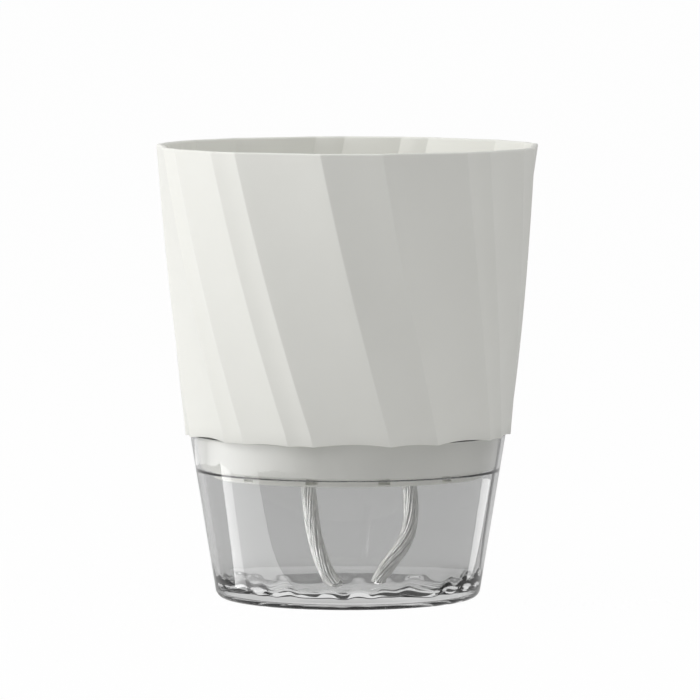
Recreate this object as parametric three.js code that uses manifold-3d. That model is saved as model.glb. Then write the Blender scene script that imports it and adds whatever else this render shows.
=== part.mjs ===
// Self-watering planter: a white pot with a twisted, fluted wall stands in the mouth of a clear reservoir,
// and two cotton wicks hang from its floor into the water.
// Millimetres, +Z up, origin at the centre of the reservoir's foot. The front of the planter faces -Y.
import * as THREE from "three";
import { mergeVertices } from "three/addons/utils/BufferGeometryUtils.js";
import Module from "manifold-3d";

const wasm = await Module();
wasm.setup();

const DEGREE = Math.PI / 180;

// Reservoir: a tapered cup with a conical rim, and a thinner wall round the pot's skirt
const RESERVOIR_HEIGHT = 56; // to the inner edge of the rim
const RESERVOIR_RIM_RADIUS = 53.1; // outside of the wall, at that height
const RESERVOIR_BASE_RADIUS = 44; // where the line of the outer wall meets the table
const RESERVOIR_WALL = 2.4;
const RESERVOIR_UPPER_WALL = 1.4;
const RESERVOIR_FLOOR = 4;
const OUTER_FILLET = 3.2;
const INNER_FILLET = 6;
const FOOT_WIDTH = 5;
const FOOT_RECESS = 1.2;
const RIM_EDGE_ROUND = 0.4;
const SEAT_SLOPE = 25 * DEGREE; // the rim falls outwards, so the pot centres itself

// Pot: outside of the fluted wall
const RIM_RADIUS = 65; // circle through the ridges at the rim
const SHOULDER_OVERHANG = 1.4; // of the lowest ridges, past the reservoir's rim
const FLUTED_HEIGHT = 97; // from the lower end of the ridges to the rim
const TWIST = 23.3 * DEGREE; // of the ridges, from the rim down to the shoulder
const TWIST_TIGHTENING = 0.33; // how much of the twist is moved towards the shoulder
const FIRST_RIDGE = -8 * DEGREE; // at the rim, from the front towards +X
const FACET_MODULES = [2, 3, 1, 2, 1, 3, 1, 2, 3, 1, 2, 1, 3, 2, 1, 1, 1, 3, 1, 2, 1, 3];
const FLUTE_DEPTH = 0.4; // how far each facet is hollowed, at the rim
const POT_WALL = 2;
const LIP_ROUND = 0.7;

// Pot: skirt, and the sump below it with its drain windows and slots
const SKIRT_DEPTH = 12; // below the inner edge of the reservoir's rim
const SKIRT_CLEARANCE = 0.35;
const SKIRT_CHAMFER = 0.8;
const STEP_GAP = 0.5; // from the skirt down to the step in the reservoir's wall
const SEAT_GAP = 0.3;
const LEDGE_FALL = 0.6;
const SUMP_DEPTH = 2.7; // below the skirt
const SUMP_CLEARANCE = 2.6; // to the reservoir's wall
const POT_FLOOR = 2;
const POT_FLOOR_FILLET = 1.2;
const WINDOW_COUNT = 12;
const WINDOW_WIDTH = 4;
const WINDOW_SILL = 0.6; // left of the floor under a window
const WINDOW_LINTEL = 0.2; // between a window and the skirt
const WINDOW_REACH = 2; // how far a window's gutter runs into the floor
const SLOT_COUNT = 12;
const SLOT_WIDTH = 2.2;
const SLOT_MARGIN = 2.5; // between a slot and the ports on one side, the gutters on the other

// Wicks and the ports that they pass through
const WICK_DIAMETER = 5;
const WICK_CLEARANCE = 0.3;
const PORT_COUNT = 4;
const PORT_CIRCLE_RADIUS = 24;
const FIRST_PORT = -33 * DEGREE; // from the front towards +X
const WICK_ROUTES = {
  wick_left: [
    [-20.3, 7.85, 46.1], [-19.65, 5.34, 46.41], [-19.04, 2.98, 47.32], [-18.5, 0.89, 48.77],
    [-18.06, -0.82, 50.7], [-17.62, -2.52, 52.63], [-17.08, -4.61, 54.08], [-16.47, -6.98, 54.99],
    [-15.82, -9.48, 55.3], [-15.11, -12.24, 54.93], [-14.45, -14.81, 53.83], [-13.88, -17.01, 52.08],
    [-13.44, -18.71, 49.8], [-13.16, -19.77, 47.15], [-13.07, -20.13, 44.3], [-13.07, -20.13, 41.8],
    [-13.0, -20.2, 39.0], [-12.6, -20.5, 34.5], [-12.1, -21.0, 30.0], [-11.6, -21.7, 26.0],
    [-10.8, -22.6, 22.2], [-9.8, -23.7, 18.5], [-8.5, -25.0, 14.8], [-6.9, -26.6, 11.2],
    [-5.1, -28.2, 8.4], [-3.5, -29.4, 6.6],
  ],
  wick_right: [
    [17.82, 15.74, 46.1], [18.02, 13.16, 46.41], [18.22, 10.73, 47.32], [18.39, 8.58, 48.77],
    [18.53, 6.81, 50.7], [18.67, 5.06, 52.63], [18.85, 2.91, 54.08], [19.04, 0.48, 54.99],
    [19.25, -2.1, 55.3], [19.48, -4.94, 54.93], [19.69, -7.59, 53.83], [19.87, -9.86, 52.08],
    [20.01, -11.6, 49.8], [20.1, -12.7, 47.15], [20.13, -13.07, 44.3], [20.13, -13.07, 42.2],
    [20.3, -13.1, 40.0], [20.7, -13.1, 36.0], [20.95, -13.2, 32.0], [20.9, -13.4, 28.5],
    [20.5, -13.7, 25.3], [19.8, -14.1, 22.6], [18.6, -14.6, 19.8], [17.0, -15.2, 17.2],
    [15.0, -15.9, 14.6], [12.9, -16.8, 11.8], [11.2, -17.6, 9.2], [9.9, -18.3, 6.6],
  ],
};

// Fineness of the solids
const LATHE_SEGMENTS = 80;
const ARC_STEPS = 4;
const FLUTED_STEPS = 10;
const POINTS_PER_MODULE = 1.6;
const WICK_SIDES = 10;
const WICK_STEPS = 48;
const PORT_SIDES = 24;

// Reservoir wall, seat and pot wall as functions of height or radius
const reservoirTaper = Math.atan((RESERVOIR_RIM_RADIUS - RESERVOIR_BASE_RADIUS) / RESERVOIR_HEIGHT);
const reservoirOuter = (z) => RESERVOIR_BASE_RADIUS + z * Math.tan(reservoirTaper);
const insideOf = (wall) => (z) => reservoirOuter(z) - wall / Math.cos(reservoirTaper);
const reservoirInner = insideOf(RESERVOIR_WALL);
const reservoirUpperInner = insideOf(RESERVOIR_UPPER_WALL);
const rimInnerRadius = reservoirUpperInner(RESERVOIR_HEIGHT);
const seatHeight = (radius) => RESERVOIR_HEIGHT - (radius - rimInnerRadius) * Math.tan(SEAT_SLOPE);

const shoulderHeight = (radius) => seatHeight(radius) + SEAT_GAP;
const shoulderRadius = RESERVOIR_RIM_RADIUS + SHOULDER_OVERHANG;
const shoulderBottom = shoulderHeight(shoulderRadius);
const rimHeight = shoulderBottom + FLUTED_HEIGHT;
const ridgeRadius = (z) =>
  THREE.MathUtils.mapLinear(z, shoulderBottom, rimHeight, shoulderRadius, RIM_RADIUS);

const skirtOuter = (z) => reservoirUpperInner(z) - SKIRT_CLEARANCE;
const skirtBottom = RESERVOIR_HEIGHT - SKIRT_DEPTH;
const wallStep = skirtBottom - STEP_GAP;
const floorUnder = skirtBottom - SUMP_DEPTH;
const floorTop = floorUnder + POT_FLOOR;
const sumpOuter = reservoirInner(floorUnder) - SUMP_CLEARANCE;
const sumpInner = sumpOuter - POT_WALL;
const gutterEnd = sumpInner - WINDOW_REACH;
const portRadius = WICK_DIAMETER / 2 + WICK_CLEARANCE;

// Angle by which the ridges have turned at a height: none at the rim, all of it at the shoulder
function twistAt(z) {
  const down = (rimHeight - z) / FLUTED_HEIGHT;
  return TWIST * down * (1 + TWIST_TIGHTENING * (down - 1));
}

function toSolid(geometry) {
  const bare = geometry.clone();
  bare.deleteAttribute("normal");
  bare.deleteAttribute("uv");
  const merged = mergeVertices(bare);
  const vertProperties = new Float32Array(merged.attributes.position.array);
  const triVerts = new Uint32Array(merged.index.array);
  return new wasm.Manifold(new wasm.Mesh({ numProp: 3, vertProperties, triVerts }));
}

function toGeometry(solid) {
  const mesh = solid.getMesh();
  const geometry = new THREE.BufferGeometry();
  geometry.setAttribute("position", new THREE.BufferAttribute(mesh.vertProperties, 3));
  geometry.setIndex(new THREE.BufferAttribute(mesh.triVerts, 1));
  geometry.computeVertexNormals();
  return geometry;
}

// A geometry made at the front, -Y, and turned round the axis towards +X
function turned(geometry, angle) {
  return geometry.clone().rotateZ(angle);
}

// Centre of the fillet between a level floor and a wall that leans outwards
function filletCentre(wallRadius, floor, fillet) {
  const height = floor + fillet;
  return new THREE.Vector2(wallRadius(height) - fillet / Math.cos(reservoirTaper), height);
}

// Half section of the reservoir as radius and height, from the axis under the foot to the axis on the floor
function reservoirProfile() {
  const outer = filletCentre(reservoirOuter, 0, OUTER_FILLET);
  const inner = filletCentre(reservoirInner, RESERVOIR_FLOOR, INNER_FILLET);
  const recessRadius = outer.x - FOOT_WIDTH;
  const rimOuterHeight = seatHeight(reservoirOuter(RESERVOIR_HEIGHT));
  const rimOuterRadius = reservoirOuter(rimOuterHeight);
  const profile = new THREE.Path();
  profile.moveTo(0, FOOT_RECESS);
  profile.lineTo(recessRadius - FOOT_RECESS, FOOT_RECESS);
  profile.lineTo(recessRadius, 0);
  profile.lineTo(outer.x, 0);
  profile.absarc(outer.x, outer.y, OUTER_FILLET, -90 * DEGREE, -reservoirTaper, false);
  profile.lineTo(reservoirOuter(rimOuterHeight - RIM_EDGE_ROUND), rimOuterHeight - RIM_EDGE_ROUND);
  const outerRound = rimOuterRadius - RIM_EDGE_ROUND;
  profile.quadraticCurveTo(rimOuterRadius, seatHeight(rimOuterRadius), outerRound, seatHeight(outerRound));
  const innerRound = rimInnerRadius + RIM_EDGE_ROUND;
  profile.lineTo(innerRound, seatHeight(innerRound));
  const innerEdge = RESERVOIR_HEIGHT - RIM_EDGE_ROUND;
  profile.quadraticCurveTo(rimInnerRadius, RESERVOIR_HEIGHT, reservoirUpperInner(innerEdge), innerEdge);
  profile.lineTo(reservoirUpperInner(wallStep), wallStep);
  profile.lineTo(reservoirInner(wallStep), wallStep);
  profile.absarc(inner.x, inner.y, INNER_FILLET, -reservoirTaper, -90 * DEGREE, true);
  profile.lineTo(0, RESERVOIR_FLOOR);
  return profile.getPoints(ARC_STEPS);
}

function reservoirGeometry() {
  return new THREE.LatheGeometry(reservoirProfile(), LATHE_SEGMENTS).rotateX(90 * DEGREE);
}

// One horizontal section of the fluted wall, in polar form: the angle of each point at the rim, and its
// reach, which is 1 on a ridge and less in the hollow of a facet
function flutedOutline() {
  const module = (360 * DEGREE) / FACET_MODULES.reduce((sum, count) => sum + count, 0);
  const onCircle = (angle) => new THREE.Vector2(Math.sin(angle), -Math.cos(angle));
  const outline = [];
  let ridge = FIRST_RIDGE;
  for (const count of FACET_MODULES) {
    const width = count * module;
    const from = onCircle(ridge);
    const to = onCircle(ridge + width);
    const inwards = onCircle(ridge + width / 2).negate();
    const steps = Math.round(count * POINTS_PER_MODULE);
    for (let step = 0; step < steps; step += 1) {
      const along = step / steps;
      const hollow = 4 * along * (1 - along) * (FLUTE_DEPTH / RIM_RADIUS);
      const point = from.clone().lerp(to, along).addScaledVector(inwards, hollow);
      outline.push({ angle: Math.atan2(point.x, -point.y), reach: point.length() });
    }
    ridge += width;
  }
  return outline;
}

// A ring of points on an outline: its ridges lie at radius, it is turned by turn, and the height of each
// point is a function of that point's own radius
function ringOf(outline, radius, turn, height) {
  return outline.map(({ angle, reach }) => {
    const own = radius * reach;
    const place = angle + turn;
    return new THREE.Vector3(own * Math.sin(place), -own * Math.cos(place), height(own));
  });
}

// Closed skin over rings that run from the axis below, up the outside and down the inside to the axis
function skin(rings, startHeight, endHeight) {
  const count = rings[0].length;
  const points = [new THREE.Vector3(0, 0, startHeight), ...rings.flat(), new THREE.Vector3(0, 0, endHeight)];
  const last = points.length - 1;
  const at = (ring, step) => 1 + ring * count + (step % count);
  const index = [];
  for (let step = 0; step < count; step += 1) {
    index.push(0, at(0, step + 1), at(0, step));
    for (let ring = 0; ring < rings.length - 1; ring += 1) {
      index.push(at(ring, step), at(ring, step + 1), at(ring + 1, step));
      index.push(at(ring + 1, step + 1), at(ring + 1, step), at(ring, step + 1));
    }
    index.push(at(rings.length - 1, step), at(rings.length - 1, step + 1), last);
  }
  return new THREE.BufferGeometry().setFromPoints(points).setIndex(index);
}

// The moulded pot before its floor is pierced
function potShell() {
  const fluted = flutedOutline();
  const round = fluted.map(({ angle }) => ({ angle, reach: 1 }));
  const level = (z) => () => z;
  const roundRing = (radius, z) => ringOf(round, radius, TWIST, level(z));
  const flutedRing = (inset, z) => ringOf(fluted, ridgeRadius(z) - inset, twistAt(z), level(z));

  const skirtTop = rimInnerRadius - SKIRT_CLEARANCE;
  const ledgeInner = shoulderHeight(skirtTop) + POT_WALL;
  const ledgeOuter = ledgeInner + LEDGE_FALL;
  const rings = [
    roundRing(sumpOuter, floorUnder),
    roundRing(sumpOuter, skirtBottom),
    roundRing(skirtOuter(skirtBottom) - SKIRT_CHAMFER, skirtBottom),
    roundRing(skirtOuter(skirtBottom + SKIRT_CHAMFER), skirtBottom + SKIRT_CHAMFER),
    roundRing(skirtTop, shoulderHeight(skirtTop)),
    ringOf(fluted, shoulderRadius, TWIST, shoulderHeight),
  ];
  const lipBottom = rimHeight - LIP_ROUND;
  for (let step = 1; step <= FLUTED_STEPS; step += 1) {
    rings.push(flutedRing(0, THREE.MathUtils.lerp(shoulderBottom, lipBottom, step / FLUTED_STEPS)));
  }
  const lipCorner = LIP_ROUND * (1 - Math.SQRT1_2);
  rings.push(flutedRing(lipCorner, rimHeight - lipCorner));
  rings.push(flutedRing(LIP_ROUND, rimHeight));
  rings.push(flutedRing(POT_WALL - lipCorner, rimHeight));
  rings.push(flutedRing(POT_WALL, rimHeight - lipCorner));
  for (let step = FLUTED_STEPS - 1; step >= 0; step -= 1) {
    rings.push(flutedRing(POT_WALL, THREE.MathUtils.lerp(ledgeOuter, lipBottom, step / FLUTED_STEPS)));
  }
  const sumpTop = skirtBottom + POT_WALL;
  const filletCorner = POT_FLOOR_FILLET * (1 - Math.SQRT1_2);
  rings.push(roundRing(skirtTop - POT_WALL, ledgeInner));
  rings.push(roundRing(skirtOuter(sumpTop) - POT_WALL, sumpTop));
  rings.push(roundRing(sumpInner, sumpTop));
  rings.push(roundRing(sumpInner, floorTop + POT_FLOOR_FILLET));
  rings.push(roundRing(sumpInner - filletCorner, floorTop + filletCorner));
  rings.push(roundRing(sumpInner - POT_FLOOR_FILLET, floorTop));
  return skin(rings, floorUnder, floorTop);
}

// Slot with round ends that runs out from the axis, at the front of the pot
function drainSlot() {
  const half = SLOT_WIDTH / 2;
  const outerEnd = gutterEnd - SLOT_MARGIN - half;
  const innerEnd = PORT_CIRCLE_RADIUS + portRadius + SLOT_MARGIN + half;
  const outline = new THREE.Shape();
  outline.absarc(0, -outerEnd, half, 180 * DEGREE, 360 * DEGREE, false);
  outline.absarc(0, -innerEnd, half, 0, 180 * DEGREE, false);
  const depth = 3 * POT_FLOOR;
  const slot = new THREE.ExtrudeGeometry(outline, { depth, bevelEnabled: false, curveSegments: ARC_STEPS });
  return slot.translate(0, 0, floorUnder - POT_FLOOR);
}

function wickPort() {
  const port = new THREE.CylinderGeometry(portRadius, portRadius, 3 * POT_FLOOR, PORT_SIDES);
  return port.rotateX(90 * DEGREE).translate(0, -PORT_CIRCLE_RADIUS, floorUnder + POT_FLOOR / 2);
}

// Window through the sump's wall at the front, with a gutter that leads to it through the top of the floor
function drainWindow() {
  const low = floorUnder + WINDOW_SILL;
  const high = skirtBottom - WINDOW_LINTEL;
  const front = sumpOuter + POT_WALL;
  const opening = new THREE.BoxGeometry(WINDOW_WIDTH, front - gutterEnd, high - low);
  return opening.translate(0, -(front + gutterEnd) / 2, (low + high) / 2);
}

function potGeometry() {
  const cuts = [];
  for (let slot = 0; slot < SLOT_COUNT; slot += 1) {
    cuts.push(turned(drainSlot(), (slot * 360 * DEGREE) / SLOT_COUNT));
  }
  for (let port = 0; port < PORT_COUNT; port += 1) {
    cuts.push(turned(wickPort(), FIRST_PORT + (port * 360 * DEGREE) / PORT_COUNT));
  }
  for (let opening = 0; opening < WINDOW_COUNT; opening += 1) {
    cuts.push(turned(drainWindow(), ((opening + 0.5) * 360 * DEGREE) / WINDOW_COUNT));
  }
  return toGeometry(cuts.reduce((pot, cut) => pot.subtract(toSolid(cut)), toSolid(potShell())));
}

function wickGeometry(route) {
  const section = new THREE.Shape();
  section.absarc(0, 0, WICK_DIAMETER / 2, 0, 360 * DEGREE, false);
  const extrudePath = new THREE.CatmullRomCurve3(route.map((point) => new THREE.Vector3(...point)));
  const fineness = { steps: WICK_STEPS, curveSegments: WICK_SIDES / 2 };
  return new THREE.ExtrudeGeometry(section, { extrudePath, ...fineness });
}

const CLEAR_PLASTIC = { color: 0xdde0e0, roughness: 0.06, metalness: 0, transparent: true, opacity: 0.35 };
const WHITE_PLASTIC = { color: 0xeeeee8, roughness: 0.5, metalness: 0 };
const COTTON = { color: 0xe2e0da, roughness: 0.95, metalness: 0 };

function piece(name, geometry, look) {
  const mesh = new THREE.Mesh(geometry, new THREE.MeshStandardMaterial(look));
  mesh.name = name;
  return mesh;
}

const planter = new THREE.Group();
planter.add(piece("reservoir", reservoirGeometry(), CLEAR_PLASTIC));
planter.add(piece("pot", potGeometry(), WHITE_PLASTIC));
for (const [name, route] of Object.entries(WICK_ROUTES)) {
  planter.add(piece(name, wickGeometry(route), COTTON));
}

export default planter;
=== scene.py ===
import math

import bpy
import numpy as np
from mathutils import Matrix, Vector


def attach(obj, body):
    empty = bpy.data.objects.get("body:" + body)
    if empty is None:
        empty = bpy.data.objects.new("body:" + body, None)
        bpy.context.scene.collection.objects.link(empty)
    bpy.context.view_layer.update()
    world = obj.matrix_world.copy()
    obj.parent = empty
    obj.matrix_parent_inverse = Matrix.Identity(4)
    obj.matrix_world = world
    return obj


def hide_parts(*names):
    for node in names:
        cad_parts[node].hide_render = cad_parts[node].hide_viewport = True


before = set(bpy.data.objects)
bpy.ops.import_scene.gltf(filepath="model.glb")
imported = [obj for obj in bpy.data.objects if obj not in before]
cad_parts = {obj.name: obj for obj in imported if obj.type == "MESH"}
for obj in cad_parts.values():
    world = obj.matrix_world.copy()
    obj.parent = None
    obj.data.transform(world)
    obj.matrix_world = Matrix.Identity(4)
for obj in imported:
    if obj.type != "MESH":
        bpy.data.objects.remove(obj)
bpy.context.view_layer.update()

MM = 0.001
DEGREE = math.pi / 180
TURN = 2 * math.pi

# Reservoir
RESERVOIR_HEIGHT = 56 * MM
RESERVOIR_RIM_RADIUS = 53.1 * MM
RESERVOIR_BASE_RADIUS = 44 * MM
RESERVOIR_WALL = 2.4 * MM
RESERVOIR_UPPER_WALL = 1.4 * MM  # round the pot's skirt
RESERVOIR_FLOOR = 4 * MM
OUTER_FILLET = 3.2 * MM
INNER_FILLET = 6 * MM
FOOT_WIDTH = 5 * MM
FOOT_RECESS = 1.2 * MM
RIM_EDGE_ROUND = 0.25 * MM
STEP_ROUND = 0.5 * MM
SEAT_SLOPE = 25 * DEGREE

# Waves that the moulding left in the corner of the reservoir's floor
RIPPLE_HEIGHT = 1 * MM  # at the front
RIPPLE_AT_BACK = 0.1  # share of the height at the front
RIPPLE_WAVES = (6, 9, 13, 18, 24, 31)  # round the floor
RIPPLE_LEAN = 4 * MM  # outwards, over which a wave leans by a radian at most
RIPPLE_RISE = 6  # power of the radius
RIPPLE_SEED = 4

# Pot: outside of the fluted wall
RIM_RADIUS = 65 * MM
SHOULDER_OVERHANG = 1.4 * MM
FLUTED_HEIGHT = 97 * MM
TWIST = 23.3 * DEGREE
TWIST_TIGHTENING = 0.33
FIRST_RIDGE = -8 * DEGREE
FACET_MODULES = [2, 3, 1, 2, 1, 3, 1, 2, 3, 1, 2, 1, 3, 2, 1, 1, 1, 3, 1, 2, 1, 3]
FLUTE_DEPTH = 0.4 * MM
RIDGE_ROUND = 0.4 * MM  # along each facet, from the ridge
POT_WALL = 2 * MM
LIP_ROUND = 0.7 * MM
SHOULDER_ROUND = 0.35 * MM
SHOULDER_RISE = 1.4 * MM  # from the shoulder's lowest point to the start of the wall

# Pot: skirt, and the sump below it with its drain windows and slots
SKIRT_DEPTH = 12 * MM
SKIRT_CLEARANCE = 0.35 * MM
SKIRT_ROUND = 0.8 * MM
STEP_GAP = 0.5 * MM
SEAT_GAP = 0.1 * MM
LEDGE_FALL = 0.6 * MM
SUMP_DEPTH = 2.7 * MM
SUMP_CLEARANCE = 2.6 * MM
SUMP_ROUND = 0.4 * MM
POT_FLOOR = 2 * MM
POT_FLOOR_FILLET = 1.2 * MM
WINDOW_COUNT = 12
FIRST_WINDOW = TURN / WINDOW_COUNT / 2
WINDOW_WIDTH = 4 * MM
WINDOW_SILL = 0.6 * MM
WINDOW_LINTEL = 0.2 * MM
WINDOW_REACH = 2 * MM
SLOT_COUNT = 12
SLOT_WIDTH = 2.2 * MM
SLOT_MARGIN = 2.5 * MM

# Wicks and their ports
WICK_DIAMETER = 5 * MM
WICK_CLEARANCE = 0.3 * MM
PORT_COUNT = 4
PORT_CIRCLE_RADIUS = 24 * MM
FIRST_PORT = -33 * DEGREE
STRAND_COUNT = 15  # laid round a straight core
STRAND_LAY = 95 * MM  # length of one turn
STRAND_WOBBLE = 0.16  # uneven width and place of the strands
STRAND_SWELLS = (9 * MM, 16 * MM)  # shortest and longest radian of that unevenness
STRAND_SEED = 7
CORE_GAP = 0.9  # from the core to the middle of the strands, in radii of a strand
END_STEPS = 3  # the strands stop fewer steps than this before a cut end
FRAY_LENGTH = 3 * MM
FRAY = 0.12  # how far the strands spread at a cut end
WICK_ROUTES = {
    "wick_left": [
        (-0.0203, 0.00785, 0.0461), (-0.01965, 0.00534, 0.04641), (-0.01904, 0.00298, 0.04732),
        (-0.0185, 0.00089, 0.04877), (-0.01806, -0.00082, 0.0507), (-0.01762, -0.00252, 0.05263),
        (-0.01708, -0.00461, 0.05408), (-0.01647, -0.00698, 0.05499), (-0.01582, -0.00948, 0.0553),
        (-0.01511, -0.01224, 0.05493), (-0.01445, -0.01481, 0.05383), (-0.01388, -0.01701, 0.05208),
        (-0.01344, -0.01871, 0.0498), (-0.01316, -0.01977, 0.04715), (-0.01307, -0.02013, 0.0443),
        (-0.01307, -0.02013, 0.0418), (-0.013, -0.0202, 0.039), (-0.0126, -0.0205, 0.0345),
        (-0.0121, -0.021, 0.03), (-0.0116, -0.0217, 0.026), (-0.0108, -0.0226, 0.0222),
        (-0.0098, -0.0237, 0.0185), (-0.0085, -0.025, 0.0148), (-0.0069, -0.0266, 0.0112),
        (-0.0051, -0.0282, 0.0084), (-0.0035, -0.0294, 0.0066),
    ],
    "wick_right": [
        (0.01782, 0.01574, 0.0461), (0.01802, 0.01316, 0.04641), (0.01822, 0.01073, 0.04732),
        (0.01839, 0.00858, 0.04877), (0.01853, 0.00681, 0.0507), (0.01867, 0.00506, 0.05263),
        (0.01885, 0.00291, 0.05408), (0.01904, 0.00048, 0.05499), (0.01925, -0.0021, 0.0553),
        (0.01948, -0.00494, 0.05493), (0.01969, -0.00759, 0.05383), (0.01987, -0.00986, 0.05208),
        (0.02001, -0.0116, 0.0498), (0.0201, -0.0127, 0.04715), (0.02013, -0.01307, 0.0443),
        (0.02013, -0.01307, 0.0422), (0.0203, -0.0131, 0.04), (0.0207, -0.0131, 0.036),
        (0.02095, -0.0132, 0.032), (0.0209, -0.0134, 0.0285), (0.0205, -0.0137, 0.0253),
        (0.0198, -0.0141, 0.0226), (0.0186, -0.0146, 0.0198), (0.017, -0.0152, 0.0172),
        (0.015, -0.0159, 0.0146), (0.0129, -0.0168, 0.0118), (0.0112, -0.0176, 0.0092),
        (0.0099, -0.0183, 0.0066),
    ],
}

# Camera: far in front and a little above the rim, aimed below the pot's middle
CAMERA_PLACE = Vector((0.0007, -2.32, 0.26))
CAMERA_AIM = Vector((0.0007, 0, 0.083))
CAMERA_LENS = 357
CAMERA_REACH = 100  # past the far edge of the floor

# Fineness of the meshes
LATHE_SEGMENTS = 360
ARC_STEPS = 10
LIP_STEPS = 9
WALL_STEPS = 40
SKIRT_STEPS = 6
POINTS_PER_MODULE = 4
RIDGE_STEPS = 4
PORT_SIDES = 48
ROUTE_STEPS = 12  # between two points of a wick's route
WICK_STEPS = 220
STRAND_SIDES = 8
POT_SHARP_EDGE = 40 * DEGREE  # edges that turn by more than this are shaded as sharp
WICK_SHARP_EDGE = 60 * DEGREE

# Walls as functions of height or radius, and what follows from them
reservoir_taper = math.atan((RESERVOIR_RIM_RADIUS - RESERVOIR_BASE_RADIUS) / RESERVOIR_HEIGHT)


def reservoir_outer(z):
    return RESERVOIR_BASE_RADIUS + z * math.tan(reservoir_taper)


def inside_of(z, wall):
    return reservoir_outer(z) - wall / math.cos(reservoir_taper)


def reservoir_inner(z):
    return inside_of(z, RESERVOIR_WALL)


def reservoir_upper_inner(z):
    return inside_of(z, RESERVOIR_UPPER_WALL)


rim_inner_radius = reservoir_upper_inner(RESERVOIR_HEIGHT)


def seat_height(radius):
    return RESERVOIR_HEIGHT - (radius - rim_inner_radius) * math.tan(SEAT_SLOPE)


def shoulder_height(radius):
    return seat_height(radius) + SEAT_GAP


shoulder_radius = RESERVOIR_RIM_RADIUS + SHOULDER_OVERHANG
shoulder_bottom = shoulder_height(shoulder_radius)
rim_height = shoulder_bottom + FLUTED_HEIGHT


def ridge_radius(z):
    share = (z - shoulder_bottom) / FLUTED_HEIGHT
    return shoulder_radius + share * (RIM_RADIUS - shoulder_radius)


def twist_at(z):
    down = (rim_height - z) / FLUTED_HEIGHT
    return TWIST * down * (1 + TWIST_TIGHTENING * (down - 1))


def skirt_outer(z):
    return reservoir_upper_inner(z) - SKIRT_CLEARANCE


skirt_top_radius = rim_inner_radius - SKIRT_CLEARANCE
skirt_top = shoulder_height(skirt_top_radius)
ledge_inner_height = skirt_top + POT_WALL
skirt_bottom = RESERVOIR_HEIGHT - SKIRT_DEPTH
wall_step = skirt_bottom - STEP_GAP
floor_under = skirt_bottom - SUMP_DEPTH
floor_top = floor_under + POT_FLOOR
sump_outer = reservoir_inner(floor_under) - SUMP_CLEARANCE
sump_inner = sump_outer - POT_WALL
gutter_end = sump_inner - WINDOW_REACH
port_radius = WICK_DIAMETER / 2 + WICK_CLEARANCE


# Lines and meshes
def on_circle(angle):
    """Unit vector at an angle from the front, -Y, towards +X."""
    return np.array([math.sin(angle), -math.cos(angle)])


def arc(centre, radius, start, end, steps=ARC_STEPS):
    """Points of an arc in a flat outline or half section."""
    angles = np.linspace(start, end, steps + 1)
    return [(centre[0] + radius * math.cos(a), centre[1] + radius * math.sin(a)) for a in angles]


def bend(start, corner, end, steps=ARC_STEPS):
    """Points of a rounded corner, or rings of a rounded edge."""
    start, corner, end = np.array(start), np.array(corner), np.array(end)
    shares = np.linspace(0, 1, steps + 1)
    return [tuple((1 - s) ** 2 * start + 2 * s * (1 - s) * corner + s * s * end) for s in shares]


def straight(start, end, steps=WALL_STEPS):
    """Points of a straight wall, without its ends."""
    start, end = np.array(start), np.array(end)
    return [tuple(start + (end - start) * share) for share in np.linspace(0, 1, steps + 1)[1:-1]]


def ring_of(angle, radius, height):
    """Points round the axis, one for each angle; they may share a radius and a height."""
    heights = np.broadcast_to(height, angle.shape)
    return np.column_stack([radius * np.sin(angle), -radius * np.cos(angle), heights])


def skin(rings, start_height, end_height):
    """Vertices and faces of a closed skin over rings that run from the axis, out, and back to the axis."""
    count = len(rings[0])
    vertices = [(0, 0, start_height)]
    for ring in rings:
        vertices.extend(ring)
    vertices.append((0, 0, end_height))
    last = len(vertices) - 1
    faces = []
    for step in range(count):
        following = (step + 1) % count
        faces.append((0, 1 + following, 1 + step))
        for ring in range(len(rings) - 1):
            low = 1 + ring * count
            high = low + count
            faces.append((low + step, low + following, high + following, high + step))
        top = 1 + (len(rings) - 1) * count
        faces.append((top + step, top + following, last))
    return vertices, faces


def joined(meshes):
    """Vertices and faces of several meshes as one."""
    vertices, faces = [], []
    for points, sides in meshes:
        first = len(vertices)
        vertices.extend(points)
        faces.extend(tuple(first + index for index in side) for side in sides)
    return vertices, faces


def shade(obj, sharp_angle=None):
    mesh = obj.data
    mesh.polygons.foreach_set("use_smooth", [True] * len(mesh.polygons))
    if sharp_angle:
        mesh.set_sharp_from_angle(angle=sharp_angle)
    mesh.update()


def new_object(name, vertices, faces, sharp_angle=None):
    mesh = bpy.data.meshes.new(name)
    mesh.from_pydata([tuple(v) for v in vertices], [], faces)
    mesh.validate()
    obj = bpy.data.objects.new(name, mesh)
    bpy.context.scene.collection.objects.link(obj)
    shade(obj, sharp_angle)
    return obj


def hide_from(obj, *rays):
    """Lets rays of some kinds pass an object as if it weren't there."""
    for ray in rays:
        setattr(obj, "visible_" + ray, False)


# Reservoir
def fillet_centre(wall_radius, floor, fillet):
    height = floor + fillet
    return wall_radius(height) - fillet / math.cos(reservoir_taper), height


def reservoir_outside():
    """Half section as radius and height, from under the foot up to the rim's outer edge."""
    corner = fillet_centre(reservoir_outer, 0, OUTER_FILLET)
    recess = corner[0] - FOOT_WIDTH
    half = FOOT_RECESS / 2
    slope = (recess - half, half)  # halfway from the recess down to the foot
    inner = recess - FOOT_RECESS
    foot = bend((inner - half, FOOT_RECESS), (inner, FOOT_RECESS), slope)
    foot += bend(slope, (recess, 0), (recess + half, 0))[1:]
    fillet = arc(corner, OUTER_FILLET, -90 * DEGREE, -reservoir_taper)
    edge = seat_height(reservoir_outer(RESERVOIR_HEIGHT))
    rim = reservoir_outer(edge)
    below = edge - RIM_EDGE_ROUND
    lip = bend((reservoir_outer(below), below), (rim, seat_height(rim)),
               (rim - RIM_EDGE_ROUND, seat_height(rim - RIM_EDGE_ROUND)))
    return foot + fillet + straight(fillet[-1], lip[0]) + lip


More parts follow.
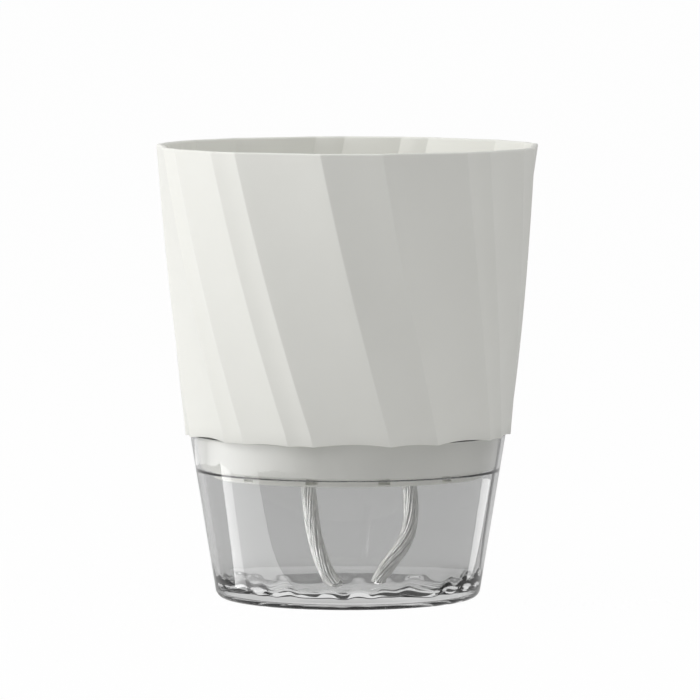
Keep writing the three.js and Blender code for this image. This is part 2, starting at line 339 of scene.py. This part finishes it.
def reservoir_inside():
    """Half section from the rim's inner edge, down over the step in the wall, to the floor."""
    edge = RESERVOIR_HEIGHT - RIM_EDGE_ROUND
    start = rim_inner_radius + RIM_EDGE_ROUND
    lip = bend((start, seat_height(start)), (rim_inner_radius, RESERVOIR_HEIGHT),
               (reservoir_upper_inner(edge), edge))
    wide, narrow = reservoir_upper_inner(wall_step), reservoir_inner(wall_step)
    above, under = wall_step + STEP_ROUND, wall_step - STEP_ROUND
    hollow = bend((reservoir_upper_inner(above), above), (wide, wall_step), (wide - STEP_ROUND, wall_step))
    nose = bend((narrow + STEP_ROUND, wall_step), (narrow, wall_step), (reservoir_inner(under), under))
    corner = fillet_centre(reservoir_inner, RESERVOIR_FLOOR, INNER_FILLET)
    fillet = arc(corner, INNER_FILLET, -reservoir_taper, -90 * DEGREE)
    floor = straight(fillet[-1], (0, RESERVOIR_FLOOR))
    upper = lip + straight(lip[-1], hollow[0]) + hollow
    return upper + nose + straight(nose[-1], fillet[0]) + fillet + floor


def ripples(circle, radius):
    """Height of the waves in the floor's corner, at each angle of a circle."""
    draw = np.random.default_rng(RIPPLE_SEED)
    height = np.zeros_like(circle)
    for waves in RIPPLE_WAVES:
        phase, lean = draw.uniform(0, TURN), draw.uniform(-1, 1)
        height += np.sin(waves * circle + phase + lean * radius / RIPPLE_LEAN)
    height /= math.sqrt(len(RIPPLE_WAVES))
    frontal = 1 - (1 - RIPPLE_AT_BACK) * (1 - np.cos(circle)) / 2
    return RIPPLE_HEIGHT * height * frontal * (radius / RESERVOIR_BASE_RADIUS) ** RIPPLE_RISE


def make_reservoir():
    circle = np.linspace(0, TURN, LATHE_SEGMENTS, endpoint=False)
    rings = [ring_of(circle, radius, z) for radius, z in reservoir_outside()]
    for radius, z in reservoir_inside():
        wavy = ripples(circle, radius) if z < RESERVOIR_FLOOR + INNER_FILLET else 0
        rings.append(ring_of(circle, radius, z + wavy))
    cup = new_object("reservoir_cup", *skin(rings, FOOT_RECESS, RESERVOIR_FLOOR))
    hide_from(cup, "diffuse", "shadow")  # its clear wall keeps no light from what stands in it
    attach(cup, "reservoir")
    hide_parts("reservoir")
    return cup


# Pot
def fluted_outline():
    """Angle and reach of the points of a fluted section: hollowed facets that meet in rounded ridges."""
    module = TURN / sum(FACET_MODULES)
    ridges = FIRST_RIDGE + module * np.concatenate([[0], np.cumsum(FACET_MODULES)])
    facets = []
    for start, end, count in zip(ridges[:-1], ridges[1:], FACET_MODULES):
        here, there = on_circle(start), on_circle(end)
        inwards = -on_circle((start + end) / 2)
        margin = RIDGE_ROUND / RIM_RADIUS / np.linalg.norm(there - here)
        along = np.linspace(margin, 1 - margin, count * POINTS_PER_MODULE + 1)[:, None]
        hollow = 4 * along * (1 - along) * FLUTE_DEPTH / RIM_RADIUS
        facets.append(here + (there - here) * along + inwards * hollow)
    points = []
    for before, facet, ridge in zip([facets[-1]] + facets[:-1], facets, ridges):
        points.extend(bend(before[-1], on_circle(ridge), facet[0], RIDGE_STEPS)[1:-1])
        points.extend(facet)
    points = np.array(points)
    return np.arctan2(points[:, 0], -points[:, 1]), np.linalg.norm(points, axis=1)


def fluted_ring(outline, inset, z):
    """Ring of the fluted wall, set in from its outside."""
    angle, reach = outline
    return ring_of(angle + twist_at(z), (ridge_radius(z) - inset) * reach, z)


def round_rings(outline, section):
    """Rings of a round stretch, whose points lie in line with the flutes at the shoulder."""
    angle, _ = outline
    return [ring_of(angle + TWIST, radius, z) for radius, z in section]


def skirt_outside():
    """Half section from under the sump, out round the skirt's lower edge, and up to the shoulder."""
    corner = skirt_outer(skirt_bottom)
    low = skirt_bottom + SKIRT_ROUND
    top = (skirt_top_radius, skirt_top)
    points = bend((sump_outer - SUMP_ROUND, floor_under), (sump_outer, floor_under),
                  (sump_outer, floor_under + SUMP_ROUND))
    points += [(sump_outer, skirt_bottom)]
    points += bend((corner - SKIRT_ROUND, skirt_bottom), (corner, skirt_bottom), (skirt_outer(low), low))
    return points + straight(points[-1], top, SKIRT_STEPS) + [top]


def shoulder_rings(outline):
    """Rings round the shoulder's edge, up to the start of the wall."""
    angle, reach = outline
    radius = shoulder_radius * reach
    under = ring_of(angle + TWIST, radius - SHOULDER_ROUND, shoulder_height(radius - SHOULDER_ROUND))
    edge = ring_of(angle + TWIST, radius, shoulder_height(radius))
    above = fluted_ring(outline, 0, shoulder_bottom + SHOULDER_RISE)
    above[:, 2] = edge[:, 2] + SHOULDER_ROUND
    return bend(under, edge, above, RIDGE_STEPS)


def wall_rings(outline):
    """Rings up the outside of the fluted wall, over its lip, and down its inside to the ledge."""
    lip_bottom = rim_height - LIP_ROUND
    ledge = ledge_inner_height + LEDGE_FALL
    outside = np.linspace(shoulder_bottom, lip_bottom, WALL_STEPS + 1)[2:]  # the shoulder has the first two
    places = [(0, z) for z in outside]
    places += arc((LIP_ROUND, lip_bottom), LIP_ROUND, 180 * DEGREE, 90 * DEGREE, LIP_STEPS)[1:]
    places += arc((POT_WALL - LIP_ROUND, lip_bottom), LIP_ROUND, 90 * DEGREE, 0, LIP_STEPS)
    places += [(POT_WALL, z) for z in np.linspace(lip_bottom, ledge, WALL_STEPS + 1)[1:]]
    return [fluted_ring(outline, inset, z) for inset, z in places]


def skirt_inside():
    """Half section from the ledge, down inside the skirt and the sump, to the floor."""
    sump_top = skirt_bottom + POT_WALL
    fillet = (sump_inner - POT_FLOOR_FILLET, floor_top + POT_FLOOR_FILLET)
    points = [(skirt_top_radius - POT_WALL, ledge_inner_height)]
    points += [(skirt_outer(sump_top) - POT_WALL, sump_top), (sump_inner, sump_top)]
    return points + arc(fillet, POT_FLOOR_FILLET, 0, -90 * DEGREE)


def pot_rings():
    outline = fluted_outline()
    outside = round_rings(outline, skirt_outside()) + shoulder_rings(outline)
    return outside + wall_rings(outline) + round_rings(outline, skirt_inside())


def prisms(outline, low, high, count, first=0):
    """Vertices and faces of upright prisms, made at the front and spread evenly round the axis."""
    size = len(outline)
    faces = [tuple(range(size))[::-1], tuple(range(size, 2 * size))]
    for step in range(size):
        following = (step + 1) % size
        faces.append((step, following, size + following, size + step))
    made = []
    for number in range(count):
        angle = first + number * TURN / count
        cos, sin = math.cos(angle), math.sin(angle)
        vertices = [(x * cos - y * sin, x * sin + y * cos, z) for z in (low, high) for x, y in outline]
        made.append((vertices, faces))
    return made


def pot_cutters():
    """Drain slots, wick ports and drain windows with their gutters, as prisms."""
    half = SLOT_WIDTH / 2
    slot_outer = gutter_end - SLOT_MARGIN - half
    slot_inner = PORT_CIRCLE_RADIUS + port_radius + SLOT_MARGIN + half
    slot = arc((0, -slot_outer), half, -180 * DEGREE, 0) + arc((0, -slot_inner), half, 0, 180 * DEGREE)
    port = arc((0, -PORT_CIRCLE_RADIUS), port_radius, 0, TURN, PORT_SIDES)[:-1]
    side, front, back = WINDOW_WIDTH / 2, -(sump_outer + POT_WALL), -gutter_end
    window = [(-side, front), (side, front), (side, back), (-side, back)]
    through = (floor_under - POT_FLOOR / 2, floor_top + POT_FLOOR / 2)
    sill, lintel = floor_under + WINDOW_SILL, skirt_bottom - WINDOW_LINTEL
    cuts = prisms(slot, *through, SLOT_COUNT)
    cuts += prisms(port, *through, PORT_COUNT, FIRST_PORT)
    cuts += prisms(window, sill, lintel, WINDOW_COUNT, FIRST_WINDOW)
    return joined(cuts)


def make_pot():
    pot = new_object("pot_shell", *skin(pot_rings(), floor_under, floor_top))
    cutter = new_object("pot_cutter", *pot_cutters())
    cut = pot.modifiers.new("pierced", "BOOLEAN")
    cut.operation = "DIFFERENCE"
    cut.solver = "EXACT"
    cut.object = cutter
    pierced = bpy.data.meshes.new_from_object(pot.evaluated_get(bpy.context.evaluated_depsgraph_get()))
    pot.modifiers.clear()
    pot.data = pierced
    bpy.data.objects.remove(cutter)
    shade(pot, POT_SHARP_EDGE)
    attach(pot, "pot")
    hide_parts("pot")
    return pot


# Wicks
def smooth_route(points, count):
    """Evenly spaced points on a smooth curve through a route's points, and the length up to each."""
    route = np.array(points)
    padded = np.vstack([2 * route[0] - route[1], route, 2 * route[-1] - route[-2]])
    samples = []
    for a, b, c, d in zip(padded, padded[1:], padded[2:], padded[3:]):
        for t in np.linspace(0, 1, ROUTE_STEPS, endpoint=False):
            samples.append(0.5 * (2 * b + (c - a) * t + (2 * a - 5 * b + 4 * c - d) * t ** 2
                                  + (3 * b - a - 3 * c + d) * t ** 3))
    samples = np.array(samples + [route[-1]])
    travelled = np.concatenate([[0], np.cumsum(np.linalg.norm(np.diff(samples, axis=0), axis=1))])
    even = np.linspace(0, travelled[-1], count)
    return np.column_stack([np.interp(even, travelled, samples[:, axis]) for axis in range(3)]), even


def across(line):
    """Two unit vectors across a line at each of its points, without twist."""
    along = np.gradient(line, axis=0)
    along /= np.linalg.norm(along, axis=1)[:, None]
    start = np.cross(along[0], (1, 0, 0))
    first = [start / np.linalg.norm(start)]
    for direction in along[1:]:
        carried = first[-1] - direction * np.dot(first[-1], direction)
        first.append(carried / np.linalg.norm(carried))
    return np.array(first), np.cross(along, np.array(first))


def strand(number, line, radius, lengths):
    """Vertices, faces and fibre coordinates of one closed strand of a rope."""
    u, v = across(line)
    circle = np.linspace(0, TURN, STRAND_SIDES, endpoint=False)
    vertices, fibre = [], []
    for point, side, up, r, travelled in zip(line, u, v, radius, lengths):
        for turn in circle:
            vertices.append(point + r * (side * math.cos(turn) + up * math.sin(turn)))
            fibre.append((travelled, number + turn / TURN))
    faces = []
    for ring in range(len(line) - 1):
        for step in range(STRAND_SIDES):
            following = (step + 1) % STRAND_SIDES
            low, high = ring * STRAND_SIDES, (ring + 1) * STRAND_SIDES
            faces.append((low + step, low + following, high + following, high + step))
    last = (len(line) - 1) * STRAND_SIDES
    faces.append(tuple(range(STRAND_SIDES))[::-1])
    faces.append(tuple(range(last, last + STRAND_SIDES)))
    return vertices, faces, fibre


def strands_along(line, lengths, draw):
    """Uneven strands laid round a line and frayed at its ends, with the core as the last of them."""
    u, v = across(line)
    share = math.sin(math.pi / STRAND_COUNT)
    strand_radius = WICK_DIAMETER / 2 * share / (1 + share)
    lay_radius = WICK_DIAMETER / 2 - strand_radius
    from_end = np.minimum(lengths, lengths[-1] - lengths)
    spread = 1 + FRAY * np.clip(1 - from_end / FRAY_LENGTH, 0, 1) ** 2
    strands = []
    for number in range(STRAND_COUNT + 1):
        core = number == STRAND_COUNT
        sway, swell = draw.uniform(0, TURN, 2)
        period = draw.uniform(*STRAND_SWELLS)
        wobble = STRAND_WOBBLE * np.sin(lengths / period + sway)
        angle = (number + wobble) * TURN / STRAND_COUNT + TURN * lengths / STRAND_LAY
        reach = np.zeros_like(lengths) if core else lay_radius * spread
        middle = line + reach[:, None] * (u * np.cos(angle)[:, None] + v * np.sin(angle)[:, None])
        width = lay_radius - CORE_GAP * strand_radius if core else strand_radius
        radius = width * (1 + STRAND_WOBBLE / 2 * np.sin(lengths / period + swell))
        kept = slice(number % END_STEPS, WICK_STEPS - 2 * number % END_STEPS)
        strands.append(strand(number, middle[kept], radius[kept], lengths[kept]))
    return strands


def make_wick(name, route):
    line, lengths = smooth_route(route, WICK_STEPS)
    strands = strands_along(line, lengths, np.random.default_rng(STRAND_SEED + len(route)))
    vertices, faces = joined((points, sides) for points, sides, _ in strands)
    fibre = [place for *_, places in strands for place in places]
    rope = new_object(name + "_rope", vertices, faces, WICK_SHARP_EDGE)
    layer = rope.data.uv_layers.new(name="fibre")
    for loop in rope.data.loops:
        layer.data[loop.index].uv = fibre[loop.vertex_index]
    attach(rope, "pot")
    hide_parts(name)
    return rope


# Materials
NOISE_SPAN = (0.3, 0.7)  # most of a noise's values lie between these


def new_material(name):
    material = bpy.data.materials.new(name)
    material.use_nodes = True
    return material, material.node_tree, material.node_tree.nodes["Principled BSDF"]


def add(tree, kind, **settings):
    node = tree.nodes.new(kind)
    for key, value in settings.items():
        setattr(node, key, value)
    return node


def noise(tree, vector, scale, detail=4):
    node = add(tree, "ShaderNodeTexNoise")
    node.inputs["Scale"].default_value = scale
    node.inputs["Detail"].default_value = detail
    tree.links.new(vector, node.inputs["Vector"])
    return node.outputs["Fac"]


def ramp(tree, value, low, high):
    """Colours or greys that run from low to high over the span of a noise."""
    node = add(tree, "ShaderNodeValToRGB")
    for element, place, colour in zip(node.color_ramp.elements, NOISE_SPAN, (low, high)):
        element.position = place
        element.color = (*colour, 1) if isinstance(colour, tuple) else (colour, colour, colour, 1)
    tree.links.new(value, node.inputs["Fac"])
    return node.outputs["Color"]


def bump(tree, height, shader, strength, distance):
    node = add(tree, "ShaderNodeBump")
    node.inputs["Strength"].default_value = strength
    node.inputs["Distance"].default_value = distance
    tree.links.new(height, node.inputs["Height"])
    tree.links.new(node.outputs["Normal"], shader.inputs["Normal"])


def white_plastic():
    material, tree, shader = new_material("white_plastic")
    place = add(tree, "ShaderNodeTexCoord").outputs["Object"]
    tone = ramp(tree, noise(tree, place, scale=25), low=(0.83, 0.83, 0.785), high=(0.855, 0.855, 0.81))
    satin = ramp(tree, noise(tree, place, scale=90), low=0.44, high=0.54)
    tree.links.new(tone, shader.inputs["Base Color"])
    tree.links.new(satin, shader.inputs["Roughness"])
    bump(tree, noise(tree, place, scale=2600, detail=2), shader, strength=0.12, distance=0.1 * MM)
    return material


def clear_plastic():
    material, tree, shader = new_material("clear_plastic")
    place = add(tree, "ShaderNodeTexCoord").outputs["Object"]
    polish = ramp(tree, noise(tree, place, scale=120), low=0.015, high=0.04)
    shader.inputs["Base Color"].default_value = (0.75, 0.752, 0.75, 1)
    shader.inputs["Transmission Weight"].default_value = 1
    shader.inputs["IOR"].default_value = 1.5
    tree.links.new(polish, shader.inputs["Roughness"])
    bump(tree, noise(tree, place, scale=45, detail=1), shader, strength=0.2, distance=0.2 * MM)
    return material


def cotton():
    material, tree, shader = new_material("cotton")
    fibres = add(tree, "ShaderNodeMapping")
    fibres.inputs["Scale"].default_value = (260, 3, 1)  # along a strand, and round it
    tree.links.new(add(tree, "ShaderNodeUVMap", uv_map="fibre").outputs["UV"], fibres.inputs["Vector"])
    threads = noise(tree, fibres.outputs["Vector"], scale=1, detail=5)
    tone = ramp(tree, threads, low=(0.42, 0.42, 0.41), high=(1, 1, 0.985))
    tree.links.new(tone, shader.inputs["Base Color"])
    shader.inputs["Roughness"].default_value = 0.9
    shader.inputs["Sheen Weight"].default_value = 0.25
    bump(tree, threads, shader, strength=0.7, distance=0.4 * MM)
    return material


# Stage: table and sky
FLOOR_SIZE = 40
FLOOR_HEIGHT = -0.05 * MM  # a hair under the foot
FLOOR_COLOUR = 0.66
FLOOR_WHITE = {"camera": 0.98, "gloss": 0.2, "through": 0.27}  # share of plain white over its own shading
SKY_LOW = 0.3  # light from the horizon
SKY_HIGH = 0.7  # light from straight above
SKY_SEEN_HIGH = 0.1  # what shows of it from SKY_SEEN_TOP up; it shows white at the horizon
SKY_SEEN_TOP = 0.45  # sine of the elevation

# Lamps: a key from the left, a fill from the upper right, and a narrow beam on the wicks
KEY = {"azimuth": -80 * DEGREE, "elevation": 24 * DEGREE, "distance": 1.2, "size": 0.8, "power": 9.1}
FILL = {"azimuth": 75 * DEGREE, "elevation": 60 * DEGREE, "distance": 1.3, "size": 0.7, "power": 3.4}
WICK_BEAM = {"azimuth": -90 * DEGREE, "elevation": 0, "distance": 0.4, "size": 0.012, "power": 0.062,
             "aim": Vector((0.004, -0.019, 0.022)), "spread": 6.8 * DEGREE}


def path_share(tree, camera, gloss, through):
    """A value each for rays from the camera, from gloss and through clear plastic; 0 for other light."""
    path = add(tree, "ShaderNodeLightPath")
    total = None
    for ray, share in (("Glossy", gloss), ("Transmission", through), ("Camera", camera)):
        mix = add(tree, "ShaderNodeMix", data_type="FLOAT")
        mix.inputs["B"].default_value = share
        tree.links.new(path.outputs["Is " + ray + " Ray"], mix.inputs["Factor"])
        if total is not None:
            tree.links.new(total, mix.inputs["A"])
        total = mix.outputs["Result"]
    return total


def make_floor():
    half = FLOOR_SIZE / 2
    corners = [(-half, -half), (half, -half), (half, half), (-half, half)]
    floor = new_object("floor", [(x, y, FLOOR_HEIGHT) for x, y in corners], [(0, 1, 2, 3)])
    material, tree, shader = new_material("floor")
    shader.inputs["Base Color"].default_value = (FLOOR_COLOUR, FLOOR_COLOUR, FLOOR_COLOUR, 1)
    shader.inputs["Roughness"].default_value = 0.9
    shader.inputs["Specular IOR Level"].default_value = 0
    glow = add(tree, "ShaderNodeEmission")
    both = add(tree, "ShaderNodeMixShader")
    tree.links.new(path_share(tree, **FLOOR_WHITE), both.inputs["Fac"])
    tree.links.new(shader.outputs[0], both.inputs[1])
    tree.links.new(glow.outputs[0], both.inputs[2])
    tree.links.new(both.outputs[0], tree.nodes["Material Output"].inputs["Surface"])
    floor.data.materials.append(material)


def make_world():
    """Sky that lights from overhead, and shows as white at the horizon under a dark ceiling."""
    world = bpy.data.worlds.new("studio")
    world.use_nodes = True
    tree = world.node_tree
    parts = add(tree, "ShaderNodeSeparateXYZ")
    tree.links.new(add(tree, "ShaderNodeTexCoord").outputs["Generated"], parts.inputs[0])
    seen = add(tree, "ShaderNodeMix", data_type="FLOAT")
    tree.links.new(path_share(tree, camera=1, gloss=1, through=1), seen.inputs["Factor"])
    for socket, top, low, high in (("A", 1, SKY_LOW, SKY_HIGH), ("B", SKY_SEEN_TOP, 1, SKY_SEEN_HIGH)):
        sky = add(tree, "ShaderNodeMapRange")
        sky.inputs["From Max"].default_value = top
        sky.inputs["To Min"].default_value = low
        sky.inputs["To Max"].default_value = high
        tree.links.new(parts.outputs["Z"], sky.inputs["Value"])
        tree.links.new(sky.outputs["Result"], seen.inputs[socket])
    background = tree.nodes["Background"]
    background.inputs["Color"].default_value = (1, 1, 1, 1)
    tree.links.new(seen.outputs["Result"], background.inputs["Strength"])
    bpy.context.scene.world = world


def facing(place, aim):
    """Rotation of a camera or lamp that looks from its place at its aim."""
    return (aim - place).to_track_quat("-Z", "Y").to_euler()


def make_softbox(name, azimuth, elevation, distance, size, power, aim=CAMERA_AIM, spread=180 * DEGREE):
    data = bpy.data.lights.new(name, "AREA")
    data.size = size
    data.energy = power
    data.spread = spread
    lamp = bpy.data.objects.new(name, data)
    level = on_circle(azimuth) * math.cos(elevation)
    lamp.location = Vector((level[0], level[1], math.sin(elevation))) * distance + aim
    lamp.rotation_euler = facing(lamp.location, aim)
    hide_from(lamp, "camera", "glossy", "transmission")
    bpy.context.scene.collection.objects.link(lamp)


def make_camera():
    data = bpy.data.cameras.new("camera")
    data.lens = CAMERA_LENS
    data.clip_end = CAMERA_REACH
    camera = bpy.data.objects.new("camera", data)
    camera.location = CAMERA_PLACE
    camera.rotation_euler = facing(CAMERA_PLACE, CAMERA_AIM)
    bpy.context.scene.collection.objects.link(camera)
    bpy.context.scene.camera = camera


# Stage: glowing cards and sheets on the table that light nothing and show only in the clear plastic:
# painted reflections on the reservoir, and painted shade and painted light seen through it
def on_table(*points):
    """Points on the table, given in millimetres."""
    return [(x * MM, y * MM) for x, y in points]


CARD_HEIGHT = 1 * MM
PAINTED_REFLECTIONS = {  # painted reflections: glowing cards seen only as light bands on the reservoir; a spot is a middle and the radius of its fading
    "left": {"corners": on_table((-31, -52), (-46, -28), (-183, -1), (-148, -76)), "glow": 3.4},
    "left_back": {"corners": on_table((-46, -28), (-53, -17), (-200, 40), (-183, -1)), "glow": 5.7},
    "left_far": {"corners": on_table((-195, 138), (-196, 103), (-197, 52), (-200, 40), (-183, -1),
                                     (-148, -76), (-123, -107), (-82, -135), (-48, -147), (-57, -205),
                                     (-125, -185), (-195, -110), (-240, -36), (-255, 95), (-240, 129)),
                 "glow": 4.9, "spot": (-200 * MM, -30 * MM, 240 * MM)},
    "left_edge": {"corners": on_table((-120, 355), (-176, 217), (-195, 138), (-240, 129), (-232, 195),
                                      (-215, 280)),
                  "glow": 1.4},
    "right": {"corners": on_table((60, -8), (66, 4), (170, 145), (177, 115), (181, 80)), "glow": 2.7},
}
SHEET_STEPS = 360
SHEET_ANGLES = np.linspace(0, TURN, SHEET_STEPS + 1)
# Painted shade under the foot, and painted light round it and inside it
FOOT_SHADE_INNER = 37 * MM  # middle of its uneven inner edge
FOOT_SHADE_DEPTH = 4 * MM  # of that edge's bays, to either side
FOOT_SHADE_WAVES = (3, 7, 12, 19, 27)
FOOT_SHADE_CLIP = 1.5  # height of the summed waves at which a bay has its full depth
FOOT_SHADE_SEED = 2961
FOOT_SHADE_OUTER = 41 * MM
FOOT_LIGHT_OUTER = 56 * MM
FOOT_LIGHT_INNER = 1 * MM


def circle_line(radius):
    """Closed line round the axis, with one radius or one for each of the sheets' angles."""
    radii = np.broadcast_to(radius, SHEET_ANGLES.shape)
    return [r * on_circle(angle) for angle, r in zip(SHEET_ANGLES, radii)]


def uneven_radius():
    """Radius of the inner edge of the painted shade under the foot, for each of the sheets' angles."""
    draw = np.random.default_rng(FOOT_SHADE_SEED)
    wave = sum(np.sin(waves * SHEET_ANGLES + draw.uniform(0, TURN)) for waves in FOOT_SHADE_WAVES)
    return FOOT_SHADE_INNER + FOOT_SHADE_DEPTH * np.clip(wave / FOOT_SHADE_CLIP, -1, 1)


PAINTED_SHADE_AND_LIGHT = {  # strips on the table, each between two lines, seen only through the reservoir: the dark ones are painted shade, the bright ones painted light
    # painted light: the table round the foot, brighter than the pot's overhang leaves it
    "around": {"lines": [circle_line(FOOT_SHADE_OUTER), circle_line(FOOT_LIGHT_OUTER)], "glow": 0.8},
    # painted shade under the foot, its uneven inner edge breaking it into dark blobs
    "foot": {"lines": [circle_line(uneven_radius()), circle_line(FOOT_SHADE_OUTER)], "glow": 0.06},
    # painted shadow: a dark strip on the table behind the reservoir's right side
    "right": {"lines": [on_table((53, 28), (265, 481)), on_table((56, 27), (336, 441))], "glow": 0.06},
    # painted light: a bright disc under the reservoir's floor
    "middle": {"lines": [circle_line(FOOT_LIGHT_INNER), circle_line(uneven_radius())], "glow": 1},
}


def new_glow(name):
    """Material that only glows, with its node tree and its light."""
    material, tree, _ = new_material(name)
    light = add(tree, "ShaderNodeEmission")
    tree.links.new(light.outputs[0], tree.nodes["Material Output"].inputs["Surface"])
    return material, tree, light


def fading(tree, spot, glow):
    """Glow that fades from the middle of a spot to none at its radius."""
    x, y, radius = spot
    away = add(tree, "ShaderNodeVectorMath", operation="DISTANCE")
    away.inputs[1].default_value = (x, y, CARD_HEIGHT)
    tree.links.new(add(tree, "ShaderNodeTexCoord").outputs["Object"], away.inputs[0])
    fade = add(tree, "ShaderNodeMapRange", interpolation_type="SMOOTHSTEP")
    fade.inputs["From Max"].default_value = radius
    fade.inputs["To Min"].default_value = glow
    fade.inputs["To Max"].default_value = 0
    tree.links.new(away.outputs["Value"], fade.inputs["Value"])
    return fade.outputs["Result"]


# A painted reflection: a glowing card that shows only in the reservoir's gloss
def make_card(name, receivers, corners, glow, spot=None):
    card = new_object("card_" + name, [(x, y, CARD_HEIGHT) for x, y in corners],
                      [tuple(range(len(corners)))])
    material, tree, light = new_glow("card")
    outside = add(tree, "ShaderNodeMath", operation="LESS_THAN")  # 1 before any surface is passed through
    tree.links.new(add(tree, "ShaderNodeLightPath").outputs["Transmission Depth"], outside.inputs[0])
    strength = add(tree, "ShaderNodeMath", operation="MULTIPLY")
    strength.inputs[1].default_value = glow
    tree.links.new(outside.outputs[0], strength.inputs[0])
    if spot:
        tree.links.new(fading(tree, spot, glow), strength.inputs[1])
    tree.links.new(strength.outputs[0], light.inputs["Strength"])
    card.data.materials.append(material)
    hide_from(card, "camera", "diffuse", "transmission", "shadow")
    card.light_linking.receiver_collection = receivers


# Painted shade or painted light: a dark or glowing sheet that shows only through the reservoir
def make_sheet(name, layer, lines, glow):
    inner, outer = lines
    height = FLOOR_HEIGHT * (1 - layer / (len(PAINTED_SHADE_AND_LIGHT) + 1))  # each in a layer of its own
    count = len(inner)
    strip = [(i, count + i, count + i + 1, i + 1) for i in range(count - 1)]
    sheet = new_object("sheet_" + name, [(x, y, height) for x, y in inner + outer], strip)
    material, _, light = new_glow("sheet")
    light.inputs["Strength"].default_value = glow
    sheet.data.materials.append(material)
    hide_from(sheet, "camera", "diffuse", "glossy", "shadow")


# Planter and stage together
make_camera()
cup = make_reservoir()
cup.data.materials.append(clear_plastic())
make_pot().data.materials.append(white_plastic())
fabric = cotton()
for wick, route in WICK_ROUTES.items():
    make_wick(wick, route).data.materials.append(fabric)
make_floor()
make_world()
only_cup = bpy.data.collections.new("only_cup")
only_cup.objects.link(cup)
for name, card in PAINTED_REFLECTIONS.items():
    make_card(name, only_cup, **card)
for layer, (name, sheet) in enumerate(PAINTED_SHADE_AND_LIGHT.items(), 1):
    make_sheet(name, layer, **sheet)
make_softbox("key", **KEY)
make_softbox("fill", **FILL)
make_softbox("wick_beam", **WICK_BEAM)
bpy.context.scene.view_settings.view_transform = "Standard"
